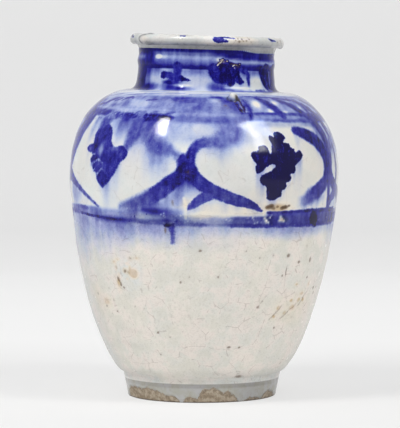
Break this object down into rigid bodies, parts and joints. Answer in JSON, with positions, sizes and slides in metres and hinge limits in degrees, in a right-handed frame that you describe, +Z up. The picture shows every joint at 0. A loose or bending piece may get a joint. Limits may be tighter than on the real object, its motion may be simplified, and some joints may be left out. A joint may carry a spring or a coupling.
{
  "type": "vase",
  "caption": "Hand-thrown baluster vase in cobalt-painted glazed fritware, with a short corded neck, rolled rim and plain foot ring, leaning slightly to one side.",
  "frame": {"origin": "on the plane that the foot ring stands on, under the middle of the widest ring of the belly", "axes": "+Z up the jar; -Y faces the viewer of the picture; the jar's axis leans towards +X as it rises"},
  "size_m": [0.187, 0.1862, 0.2513],
  "materials": {
    "foot_clay": "matt bare fritware with thin patches of glaze",
    "white_glaze": "glossy off-white crackled glaze, pitted",
    "cobalt_painted_glaze": "glossy clear glaze over cobalt painting that has run",
    "cobalt_neck_glaze": "glossy deep cobalt glaze",
    "rim_glaze": "glossy grey-white glaze, chipped"
  },
  "bodies": {
    "root": {"foot_ring": "foot_clay", "lower_body": "white_glaze", "upper_body": "cobalt_painted_glaze", "neck": "cobalt_neck_glaze", "rim": "rim_glaze"}
  },
  "joints": []
}
